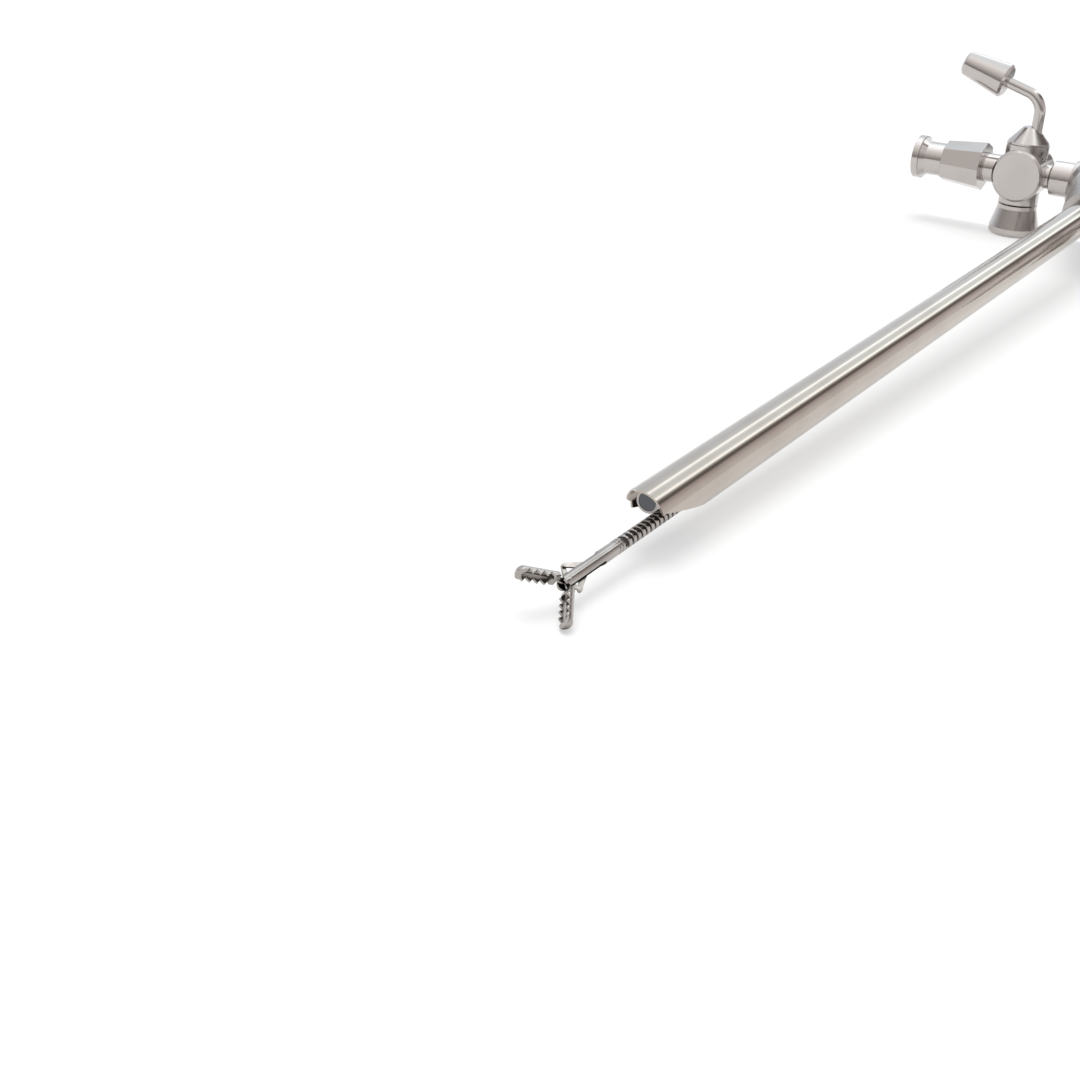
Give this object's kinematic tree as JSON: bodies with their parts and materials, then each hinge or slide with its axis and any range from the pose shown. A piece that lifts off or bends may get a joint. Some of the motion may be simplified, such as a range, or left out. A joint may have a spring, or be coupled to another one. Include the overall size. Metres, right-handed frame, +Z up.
{
  "type": "rigid endoscope",
  "caption": "Rigid endoscope: rod lens telescope locked in an operating sheath with stopcocks, light post and eyepiece, and grasping forceps through its angled channel.",
  "frame": {"origin": "middle of the eyepiece rim, on the telescope's axis", "axes": "+X along the telescope to the distal tip, +Z up with the telescope above the working channel and the tap levers up, -Y towards the inflow stopcock"},
  "size_m": [0.3217, 0.0914, 0.1006],
  "materials": {
    "instrument_steel": "satin, bead blasted",
    "sheath_steel": "finely polished along the tube",
    "polished_steel": "polished",
    "forceps_steel": "satin, machined",
    "coil_steel": "drawn wire",
    "eyepiece_black": "matte moulded",
    "anodised_black": "black anodised",
    "optical_glass": "coated, polished",
    "fibre_glass": "polished fibre bundle ends",
    "seal_rubber": "soft silicone"
  },
  "bodies": {
    "instrument": {"eyepiece_cup": "eyepiece_black", "eyepiece_window": "optical_glass", "ocular_barrel": "anodised_black", "ocular_lens": "optical_glass", "telescope_body": "instrument_steel", "light_post": "instrument_steel", "light_adapter": "polished_steel", "light_guide_rod": "fibre_glass", "telescope_tube": "instrument_steel", "distal_window": "optical_glass", "light_fibres": "fibre_glass", "optic_tube": "instrument_steel", "rod_lenses": "optical_glass", "sheath_tube": "sheath_steel", "hub_body": "instrument_steel", "lock_pin": "instrument_steel", "port_tube": "instrument_steel", "port_seal": "seal_rubber", "port_cap": "polished_steel", "forceps_coil": "coil_steel", "wire_bend": "coil_steel", "clevis": "forceps_steel", "jaw_pin": "forceps_steel", "shaft_sleeve": "instrument_steel", "fixed_handle": "instrument_steel", "handle_screw": "polished_steel", "inflow_tap_body": "polished_steel", "inflow_luer_nut": "polished_steel", "inflow_luer_port": "polished_steel", "outflow_tap_body": "polished_steel", "outflow_luer_nut": "polished_steel", "outflow_luer_port": "polished_steel"},
    "lock_ring": {"lock_ring": "polished_steel"},
    "inflow_tap": {"inflow_tap_plug": "polished_steel", "inflow_tap_cap": "polished_steel", "inflow_tap_spring": "polished_steel", "inflow_tap_lever": "polished_steel", "inflow_tap_knob": "polished_steel"},
    "outflow_tap": {"outflow_tap_plug": "polished_steel", "outflow_tap_cap": "polished_steel", "outflow_tap_spring": "polished_steel", "outflow_tap_lever": "polished_steel", "outflow_tap_knob": "polished_steel"},
    "far_jaw": {"far_jaw": "forceps_steel", "far_rivet": "forceps_steel"},
    "near_jaw": {"near_jaw": "forceps_steel", "near_rivet": "forceps_steel"},
    "far_link": {"far_link": "forceps_steel"},
    "near_link": {"near_link": "forceps_steel"},
    "drive": {"drive_yoke": "forceps_steel", "pull_wire": "coil_steel"},
    "thumb_lever": {"thumb_lever": "instrument_steel"},
    "pull_rod": {"pull_rod": "instrument_steel"}
  },
  "joints": [
    {"name": "lock_turn", "type": "hinge", "parent": "instrument", "child": "lock_ring", "pos_m": [0.071, 0, 0], "axis": [-1, 0, 0], "range_deg": [0, 30]},
    {"name": "inflow_turn", "type": "hinge", "parent": "instrument", "child": "inflow_tap", "pos_m": [0.092, -0.021, -0.0012], "axis": [0, 0, 1], "range_deg": [0, 90]},
    {"name": "outflow_turn", "type": "hinge", "parent": "instrument", "child": "outflow_tap", "pos_m": [0.092, 0.021, -0.0012], "axis": [0, 0, -1], "range_deg": [0, 90]},
    {"name": "thumb_squeeze", "type": "hinge", "parent": "instrument", "child": "thumb_lever", "pos_m": [0.01629, 0.0045, -0.05133], "axis": [0.5, 0, -0.866], "range_deg": [0, 12.48]},
    {"name": "rod_pull", "type": "slide", "parent": "instrument", "child": "pull_rod", "axis": [-0.866, 0, -0.5], "range_m": [0, 0.0009804]},
    {"name": "drive_pull", "type": "slide", "parent": "instrument", "child": "drive", "axis": [-1, 0, 0], "range_m": [0, 0.0009804]},
    {"name": "far_jaw_close", "type": "hinge", "parent": "instrument", "child": "far_jaw", "pos_m": [0.3027, 0, -0.00305], "axis": [0, 0.5736, 0.8192], "range_deg": [-36.71, 0]},
    {"name": "near_jaw_close", "type": "hinge", "parent": "instrument", "child": "near_jaw", "pos_m": [0.3027, 0, -0.00305], "axis": [0, 0.5736, 0.8192], "range_deg": [0, 36.71]},
    {"name": "far_link_swing", "type": "hinge", "parent": "far_jaw", "child": "far_link", "pos_m": [0.30166, -0.0012, -0.00221], "axis": [0, 0.5736, 0.8192], "range_deg": [0, 54.03]},
    {"name": "near_link_swing", "type": "hinge", "parent": "near_jaw", "child": "near_link", "pos_m": [0.30166, 0.0012, -0.00389], "axis": [0, 0.5736, 0.8192], "range_deg": [-54.03, 0]}
  ],
  "couplings": [
    {"joint": "rod_pull", "follows": "thumb_squeeze", "m_per_rad": 0.0045},
    {"joint": "drive_pull", "follows": "thumb_squeeze", "m_per_rad": 0.0045},
    {"joint": "far_jaw_close", "follows": "thumb_squeeze", "ratio": -2.9407},
    {"joint": "near_jaw_close", "follows": "thumb_squeeze", "ratio": 2.9407},
    {"joint": "far_link_swing", "follows": "thumb_squeeze", "ratio": 4.3283},
    {"joint": "near_link_swing", "follows": "thumb_squeeze", "ratio": -4.3283}
  ]
}
